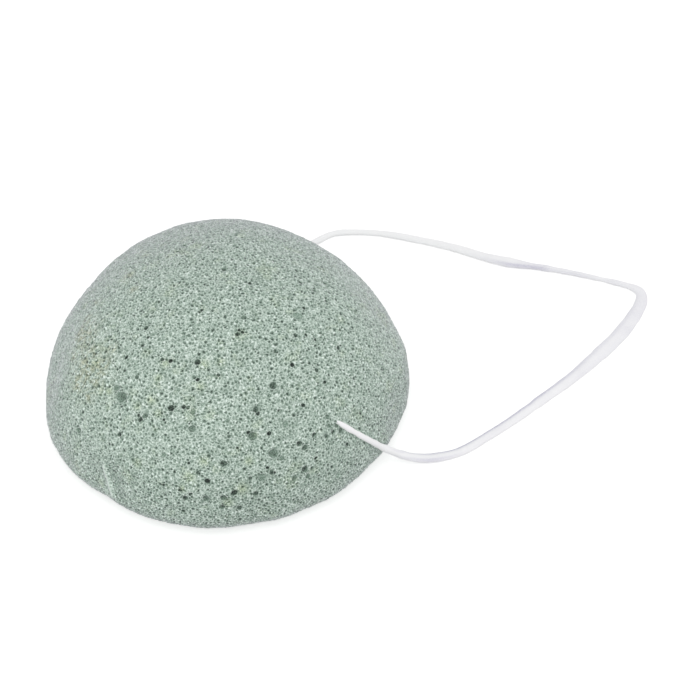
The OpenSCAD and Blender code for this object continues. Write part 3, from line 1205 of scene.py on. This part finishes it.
@dataclass
class CottonCord:
    """The cord: one length, in at one mouth, out at the other, and tied in a reef knot.

    Its route repeats the part's own points, in mm. On the foam it is let down onto the skin, and
    on the table it lies on its own thickness.
    """

    foam: FoamBody
    width: float = 1.8 * MM
    table_gap: float = 0.1 * MM
    start_in: float = 2.4 * MM
    out_share: float = 0.8
    mouth_reach: float = 31.815 * MM
    tail_length: float = 6.5 * MM
    tail_spread: float = 3 * MM
    knot_middle: tuple[float, float] = (19.5 * MM, 41.5 * MM)
    knot_turn: float = -4
    knot_rise_share: float = 1.3
    leg_points: int = 3
    ring_gap: float = 0.24 * MM
    sides: int = 20
    # Its soft swelling and thinning: how far, and over what length
    puff: float = 0.07 * MM
    puff_width: float = 2.2 * MM
    # The patches of shade: over what length they change, by how much, and the least that is left
    patch_width: float = 4 * MM
    patch_change: float = 0.4
    least_patch: float = 0.1
    # Where the hems lie and how wide their shade is, in shares of half the cord's width
    hem_share: float = 0.7
    hem_width_share: float = 0.3
    # How far it sinks into the skin, and how deep it lies in the mouth, in shares of its thickness
    sunk: float = 0.2 * MM
    buried_share: float = 0.7
    # Distances along it: out of the mouth, fully up on the skin, free of its straight start, and
    # where it comes down to the table
    mouth_at: float = 1.6 * MM
    risen_at: float = 4.8 * MM
    freed_at: float = 6.5 * MM
    lands_at: float = 28 * MM
    # It rests on the foam from the first of these distances down to the second, once it is so
    # far along, and its flat face looks off the foam from the next two
    rests_within: tuple[float, float] = (4.2 * MM, 2.0 * MM)
    rests_after: float = 0.8 * MM
    faces_within: tuple[float, float] = (6 * MM, 2 * MM)
    # Heights between which it comes to lie on the table, over what length it leaves it for the
    # knot, and the gap under it
    laid_heights: tuple[float, float] = (1.5 * MM, 1.02 * MM)
    knot_reach: float = 20 * MM
    lying_gap: float = 0.03 * MM
    # Rounds in which its line is eased: on the foam, its facing, and the loop, which is eased
    # fully within these distances of its landing and by this share elsewhere
    foam_rounds: int = 16
    facing_rounds: int = 12
    loop_rounds: int = 200
    landing_within: tuple[float, float] = (9 * MM, 4 * MM)
    loop_ease_share: float = 0.06
    front_drape: tuple[tuple[float, float, float], ...] = (
        (15.2, -32.3, 19.4), (16.5, -33, 18.8), (18.8, -33.3, 16.6), (21.2, -33.2, 13.7),
        (23.6, -32.8, 10.8), (25.9, -32, 7.6), (28.3, -31.2, 4.5), (31.4, -31.2, 2),
    )
    loop_laid: tuple[tuple[float, float], ...] = (
        (36, -32), (43, -32.2), (51, -29.6), (58, -26.9), (66, -23.3), (74, -19.7),
        (82, -15.3), (90, -10.3), (96.8, -4.5), (99.6, -0.7), (99.6, 1.9), (96.6, 5),
        (90.2, 10), (83.5, 14.7), (77, 18.7), (71, 23), (64.8, 28.8), (58, 34), (50.5, 39),
        (44, 41.8), (39.5, 42.6), (35.5, 41.4), (31.5, 40.1),
    )
    return_drape: tuple[tuple[float, float, float], ...] = (
        (14.8, 33.5, 18.9), (13.4, 35.6, 16.9), (11.3, 37.7, 13.9), (8.8, 39.5, 10.5),
        (6.2, 40.9, 7.4), (4.9, 42, 5.2), (5.8, 42.7, 3.9), (8, 42, 3.7),
    )
    strand_shares: tuple[tuple[float, float, float], ...] = (
        (-4, -0.62, 0.7), (-3, -0.62, 0.7), (-2.1, -0.62, 0.7), (-1.55, -0.65, 0.55),
        (-1.05, -0.78, 0.1), (-0.55, -1, -0.4), (0, -1.3, -0.75), (0.5, -1.75, -0.75),
        (1.05, -2.1, -0.42), (1.6, -1.95, 0.12), (2.05, -1.35, 0.55), (2.2, -0.65, 0.72),
        (2.22, 0, 0.74),
    )
    tail_shares: tuple[tuple[float, float, float], ...] = ((0.3, 0.1, 0.05), (0.65, 0.5, 0.5), (1, 1, 1))
    # How it looks at distances from the front mouth: what the foam holds or hides comes before 0,
    # and the knot comes last
    styles: tuple[CordStyle, ...] = (
        CordStyle(-60 * MM, 1.4 * MM, 1.3 * MM, 0, patch=0.1),
        CordStyle(0 * MM, 1.05 * MM, 1.05 * MM, 0, patch=0.0),
        CordStyle(8 * MM, 1.2 * MM, 1.05 * MM, 0, patch=0.0),
        CordStyle(20 * MM, 1.45 * MM, 1.2 * MM, 0, patch=0.0),
        CordStyle(25 * MM, 1.75 * MM, 1.25 * MM, -8, hem_shade=0.3, outer=0.2, patch=0.05),
        CordStyle(32 * MM, 2.4 * MM, 1.3 * MM, -8, hem_shade=0.8, outer=0.7, patch=0.1),
        CordStyle(40 * MM, 2.15 * MM, 1.2 * MM, -8, hem_shade=1.0, outer=0.1, patch=0.12),
        CordStyle(46 * MM, 2.05 * MM, 1.15 * MM, -8, hem_shade=0.9, patch=0.15),
        CordStyle(63 * MM, 2.4 * MM, 1.1 * MM, -10, hem_shade=1.0, patch=0.12),
        CordStyle(75 * MM, 2.75 * MM, 1.1 * MM, -10, hem_shade=0.5, outer=0.1, patch=0.2),
        CordStyle(84 * MM, 3.35 * MM, 1.1 * MM, -10, hem_shade=0.3, outer=0.05, patch=0.2),
        CordStyle(97 * MM, 3.25 * MM, 1.1 * MM, -8, hem_shade=0.25, patch=0.3),
        CordStyle(103 * MM, 2.9 * MM, 1.1 * MM, -4, outer=0.1, patch=0.28),
        CordStyle(107 * MM, 2.5 * MM, 1.1 * MM, 0, outer=0.1, patch=0.2),
        CordStyle(110 * MM, 1.75 * MM, 1.0 * MM, 0, hem_shade=0.1, outer=0.1, patch=0.25),
        CordStyle(117 * MM, 1.3 * MM, 0.95 * MM, 0, hem_shade=0.05, patch=0.12),
        CordStyle(128 * MM, 1.75 * MM, 1.05 * MM, 0, hem_shade=0.2, outer=0.05, patch=0.33),
        CordStyle(133 * MM, 1.8 * MM, 1.1 * MM, 0, hem_shade=0.6, outer=0.1, patch=0.38),
        CordStyle(138 * MM, 3.2 * MM, 1.2 * MM, 0, hem_shade=0.8, patch=0.05),
        CordStyle(143 * MM, 2.7 * MM, 1.15 * MM, 0, hem_shade=0.2, patch=0.1),
        CordStyle(150 * MM, 2.4 * MM, 1.1 * MM, 0, patch=0.05),
        CordStyle(163 * MM, 2.1 * MM, 1.1 * MM, 0, patch=0.04),
        CordStyle(177 * MM, 1.6 * MM, 1.0 * MM, 0, patch=0.0),
        CordStyle(188 * MM, 1.8 * MM, 1.3 * MM, 0, patch=0.0),
        CordStyle(194 * MM, 1.8 * MM, 1.8 * MM, 0, patch=0.35),
        CordStyle(260 * MM, 1.8 * MM, 1.8 * MM, 0, patch=0.35),
    )
    lines: dict[str, np.ndarray] = field(default_factory=dict)

    def smooth(self, points: np.ndarray, steps: int = 24) -> np.ndarray:
        """Draws the smooth curve of the part's routes through some points.

        Args:
            points: The points, one row each.
            steps: Steps from each point to the next.

        Returns:
            The points of the curve.
        """
        held = np.concatenate([[2 * points[0] - points[1]], points, [2 * points[-1] - points[-2]]])
        t = (np.arange(steps) / steps)[:, None]
        parts = []
        for a, b, c, d in zip(held, held[1:], held[2:], held[3:]):
            bend, twist = 2 * a - 5 * b + 4 * c - d, 3 * b - a - 3 * c + d
            parts.append((2 * b + (c - a) * t + bend * t**2 + twist * t**3) / 2)
        return np.concatenate([*parts, points[-1:]])

    def strand(self, turned_over: bool) -> np.ndarray:
        """Gives the points of one end of the cord in the knot, from its leg to its cut tip.

        Args:
            turned_over: Whether it is the strand from the loop.

        Returns:
            The points, in the part's frame.
        """
        half = np.array(self.strand_shares) * self.width
        low = self.width / 2 - self.knot_rise_share * self.width
        drop = -low if turned_over else low
        mirror = np.array([1, -1, 1])
        other = (half * mirror)[::-1][1 : len(half) - self.leg_points + 1]
        root = other[-1]
        share = np.array(self.tail_shares)
        way = np.array([-self.tail_length, self.tail_spread - root[1], drop - root[2]])
        whole = np.concatenate([half, other, root + share * way])
        if turned_over:
            whole = whole * np.array([-1, 1, -1])
        turn = math.radians(self.knot_turn)
        x = self.knot_middle[0] + whole[:, 0] * math.cos(turn) - whole[:, 1] * math.sin(turn)
        y = self.knot_middle[1] + whole[:, 0] * math.sin(turn) + whole[:, 1] * math.cos(turn)
        return np.stack([x, y, whole[:, 2] + self.knot_rise_share * self.width + self.table_gap], 1)

    def route(self, side: Mouth, middle: np.ndarray, strand: np.ndarray) -> np.ndarray:
        """Joins a mouth, a stretch of points and the first step of a knot's leg.

        Args:
            side: The mouth that the stretch comes from.
            middle: The points between.
            strand: The strand that it runs into.

        Returns:
            The points of the whole stretch.
        """
        reach = side.value * (self.mouth_reach - self.start_in)
        inner = np.array([self.foam.channel_off, reach, self.foam.channel_height])
        outer = inner + np.array([0, side.value * self.width * self.out_share, 0])
        return np.concatenate([[inner, outer], middle, [2 * strand[0] - strand[1], strand[0]]])

    def lay_out(self) -> None:
        """Works out the middle line of each stretch, on the foam, on the table and in the knot."""
        lie = self.width / 2 + self.table_gap
        laid = np.array([(x * MM, y * MM, lie) for x, y in self.loop_laid])
        tied, looped = self.strand(False), self.strand(True)
        front = self.route(Mouth.FRONT, np.concatenate([np.array(self.front_drape) * MM, laid]), looped)
        back = self.route(Mouth.REAR, np.array(self.return_drape) * MM, tied)
        self.lines = {
            "cord_inside": np.array([back[0], front[0]]),
            "cord_loop": self.smooth(front),
            "cord_return": self.smooth(back),
            "knot_return_end": self.smooth(tied),
            "knot_loop_end": self.smooth(looped),
        }

    def let_down(self, line: np.ndarray, thick: np.ndarray) -> np.ndarray:
        """Lets the cord down onto the foam where its route runs close over it.

        Args:
            line: The middle line from a mouth outwards.
            thick: The cord's thickness at each point.

        Returns:
            The line, resting on the foam.
        """
        gone = distances(line)
        mouth = min(self.foam.mouths.values(), key=lambda m: float(np.linalg.norm(m - line[0])))
        ends = np.stack([line[0], mouth, places_at(self.freed_at, gone, line)])
        straight = places_at(gone, (0, self.mouth_at, self.freed_at), ends)
        line = np.where((gone < self.freed_at)[:, None], straight, line)
        rested = line.copy()
        for i, (p, t, s) in enumerate(zip(line, thick, gone)):
            place, out, _, away = self.foam.skin.find_nearest(Vector(p))
            under = -self.buried_share * t
            risen = smooth_step(self.mouth_at, self.risen_at, s)
            raised = under + (t / 2 - self.sunk - under) * risen
            target = np.array(place) + np.array(out) * raised
            hold = smooth_step(*self.rests_within, away) * smooth_step(0, self.rests_after, s)
            rested[i] = p + (target - p) * hold
        return eased(rested, self.foam_rounds)

    def up(self, line: np.ndarray) -> np.ndarray:
        """Gives the direction that a flat cord's face looks in along a line: off the foam, or up.

        Args:
            line: The middle line.

        Returns:
            A direction for each point, square to the line.
        """
        heading = unit(np.gradient(line, axis=0))
        facing = []
        for p in line:
            _, out, _, away = self.foam.skin.find_nearest(Vector(p))
            hold = smooth_step(*self.faces_within, away)
            facing.append(np.array(out) * hold + np.array([0, 0, 1]) * (1 - hold))
        facing = eased(np.array(facing), self.facing_rounds)
        return unit(facing - heading * (facing * heading).sum(1)[:, None])

    def lay_down(
        self, line: np.ndarray, here: np.ndarray, left: np.ndarray, drop: np.ndarray
    ) -> np.ndarray:
        """Lays the loop down on the table and eases its way there.

        Args:
            line: The loop's middle line.
            here: Each point's distance from the front mouth.
            left: Each point's distance from the knot.
            drop: The height at which each point lies.

        Returns:
            The line, lying on the table.
        """
        laid = smooth_step(*self.laid_heights, line[:, 2]) * smooth_step(0, self.knot_reach, left)
        line[:, 2] += (drop - line[:, 2]) * laid
        landing = smooth_step(*self.landing_within, np.abs(here - self.lands_at))
        ease = (self.loop_ease_share + (1 - self.loop_ease_share) * landing)[1:-1, None]
        for _ in range(self.loop_rounds):
            line[1:-1] += ((line[:-2] + line[2:]) / 2 - line[1:-1]) * ease / 2
        return line

    def tube(
        self, name: str, line: np.ndarray, begins: float, material: bpy.types.Material
    ) -> bpy.types.Object:
        """Makes the soft flattened tube round one stretch of the cord.

        Args:
            name: The piece's name.
            line: Its middle line.
            begins: Distance of its first point from the front mouth, along the cord.
            material: The cord's finish.

        Returns:
            The piece, with its final middle line kept in lines under its name.
        """
        gone = distances(line)
        count = round(gone[-1] / self.ring_gap) + 1
        at = np.linspace(0, gone[-1], count)
        line = places_at(at, gone, line)
        here = begins + at
        looks = ("width", "thick", "roll", "hem_shade", "outer", "patch")
        marks = [s.at for s in self.styles]
        width, thick, roll, hem_shade, outer, patch = (
            np.interp(here, marks, [getattr(s, look) for s in self.styles]) for look in looks
        )
        roll = np.radians(roll)
        if name in ("cord_loop", "cord_return"):
            line = self.let_down(line, thick)
        if name == "cord_loop":
            drop = np.hypot(width / 2 * np.sin(roll), thick / 2 * np.cos(roll)) + self.lying_gap
            line = self.lay_down(line, here, gone[-1] - at, drop)
        heading = unit(np.gradient(line, axis=0))
        up = self.up(line)
        side = np.cross(heading, up)
        angle = np.arange(self.sides) * TURN / self.sides
        puff = lumps(line, self.puff_width, 3.0)[:, None] * self.puff
        across = np.cos(angle)[None] * (width[:, None] / 2 + puff)
        over = np.sin(angle)[None] * (thick[:, None] / 2 + puff)
        c, s = np.cos(roll)[:, None], np.sin(roll)[:, None]
        x, y = across * c - over * s, across * s + over * c
        points = line[:, None] + side[:, None] * x[..., None] + up[:, None] * y[..., None]
        points[..., 2] = np.maximum(points[..., 2], 0)
        a, b = ring_grid(count, self.sides)
        faces = np.stack([a, b, b + self.sides, a + self.sides], -1).reshape(-1, 4).tolist()
        faces.append(list(range(self.sides))[::-1])
        faces.append(list(range((count - 1) * self.sides, count * self.sides)))
        piece = new_object(name + "_braid", points.reshape(-1, 3), faces, material)
        # Painted shade in a line near each edge, and lilac-grey patches over all
        off_hem, off_outer = ((way * np.cos(angle) - self.hem_share)[None] for way in (-1, 1))
        inner_edge, outer_edge = (
            np.exp(-((off / self.hem_width_share) ** 2)) for off in (off_hem, off_outer)
        )
        change = self.patch_change * lumps(points.reshape(-1, 3), self.patch_width)
        patchy = np.maximum(1 + change, self.least_patch).reshape(count, -1)
        shade = hem_shade[:, None] * inner_edge + outer[:, None] * outer_edge + patch[:, None] * patchy
        paint(piece, "groove", np.clip(shade, 0, 1).ravel())
        self.lines[name] = line
        LOG.info("%s: %.1f mm long, %d faces", piece.name, gone[-1] / MM, len(faces))
        return piece

    def build(self, material: bpy.types.Material) -> dict[str, bpy.types.Object]:
        """Makes every stretch of the cord.

        Args:
            material: The cord's finish.

        Returns:
            The pieces by the name of the node that each stands for.
        """
        self.lay_out()
        long = {node: float(distances(line)[-1]) for node, line in self.lines.items()}
        begins = {
            "cord_inside": -long["cord_inside"], "cord_loop": 0.0, "cord_return": -long["cord_inside"],
            "knot_return_end": long["cord_loop"], "knot_loop_end": long["cord_loop"],
        }
        return {node: self.tube(node, self.lines[node], at, material) for node, at in begins.items()}


@dataclass(frozen=True)
class Softbox:
    """One round softbox: its place and width in metres and its power in watts."""

    name: str
    place: tuple[float, float, float]
    width: float
    power: float


@dataclass
class Studio:
    """A plain pale table in a white room, under soft light from above and from both sides."""

    table_size: float = 4.0
    # How far the table lies under the flat face, so that the two don't coincide
    table_drop: float = 0.02 * MM
    table: str = "#cccccc"
    # How brightly the room lights the sponge, where the eye sees the room at 1
    sky: float = 0.825
    # How brightly the table glows to the eye, and the share of that which also lights the sponge
    lift: float = 0.61
    lift_share: float = 0.25
    softboxes: tuple[Softbox, ...] = (
        Softbox("softbox_above", (-0.22, -0.55, 1.18), 0.9, 4.9),
        Softbox("softbox_left", (-1.2, -0.1, 0.38), 0.7, 1.8),
        Softbox("softbox_right", (1.2, -0.1, 0.38), 0.7, 1.8),
    )

    def build(self) -> None:
        """Makes the table, the light and the white surroundings."""
        self.lay_table()
        for softbox in self.softboxes:
            self.hang(softbox)
        self.light_room()
        bpy.context.scene.view_settings.view_transform = "Standard"
        LOG.info("studio: table, softboxes and room")

    def seen(self, tree: bpy.types.NodeTree, *rays: str) -> bpy.types.NodeSocket:
        """Tells what the eye sees, itself or by way of the object, from what only lights the object.

        Args:
            tree: The material's or world's node tree.
            rays: Kinds of ray that count as the eye's, besides its own and those off gloss.

        Returns:
            Where 1 comes out for such a ray, and 0 for any other.
        """
        path = add_node(tree, "ShaderNodeLightPath").outputs
        told = calculate(tree, "MAXIMUM", path["Is Camera Ray"], path["Is Glossy Ray"])
        for ray in rays:
            told = calculate(tree, "MAXIMUM", told, path[ray])
        return told

    def lay_table(self) -> None:
        """Makes the table, with a faint glow that makes it white and its shadows soft."""
        material, tree = new_material("white_card")
        card = add_node(tree, "ShaderNodeBsdfDiffuse", None, {"Color": linear(self.table)})
        strength = remap(tree, self.seen(tree), target=(self.lift * self.lift_share, self.lift))
        glow = add_node(tree, "ShaderNodeEmission", None, {"Strength": strength})
        shaders = {"Shader": card.outputs[0], "Shader_001": glow.outputs[0]}
        both = add_node(tree, "ShaderNodeAddShader", None, shaders)
        add_node(tree, "ShaderNodeOutputMaterial", None, {"Surface": both.outputs[0]})
        half = self.table_size / 2
        corners = np.array([(-half, -half, 0), (half, -half, 0), (half, half, 0), (-half, half, 0)])
        corners = corners - np.array([0, 0, self.table_drop])
        table = new_object("table", corners, [[0, 1, 2, 3]], material)

    def hang(self, softbox: Softbox) -> None:
        """Hangs one lamp, turned to the sponge."""
        data = bpy.data.lights.new(softbox.name, "AREA")
        data.shape, data.size, data.energy = "DISK", softbox.width, softbox.power
        lamp = bpy.data.objects.new(softbox.name, data)
        bpy.context.scene.collection.objects.link(lamp)
        lamp.location = softbox.place
        lamp.rotation_euler = (-Vector(softbox.place)).to_track_quat("-Z", "Y").to_euler()

    def light_room(self) -> None:
        """Lights the room evenly, and shows it white to the eye."""
        world = bpy.data.worlds.new("white_room")
        world.use_nodes = True
        tree = world.node_tree
        tree.nodes.clear()
        strength = remap(tree, self.seen(tree, "Is Transmission Ray"), target=(self.sky, 1.0))
        room = add_node(tree, "ShaderNodeBackground", None, {"Strength": strength})
        add_node(tree, "ShaderNodeOutputWorld", None, {"Surface": room.outputs[0]})
        bpy.context.scene.world = world


def hand_over(piece: bpy.types.Object, node: str) -> None:
    """Hangs a piece on the body that it rides on and hides the part's mesh of the node that it stands
    for.
    """
    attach(piece, BODY)
    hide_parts(node)


def main() -> None:
    """Builds the camera, the cord, the sponge and the studio, and hangs each piece on its body in place
    of the part's node.
    """
    logging.basicConfig(level=logging.INFO, format="%(name)s: %(message)s")
    eye = PhotoEye()
    eye.build()
    foam = FoamBody(eye)
    cord = CottonCord(foam)
    cotton = SpunCotton().dress()
    stretches = cord.build(cotton)
    for node, piece in stretches.items():
        hand_over(piece, node)
    sponge = foam.build(KonjacFoam().dress())
    hand_over(sponge, "sponge")
    Studio().build()


if __name__ == "__main__":
    main()
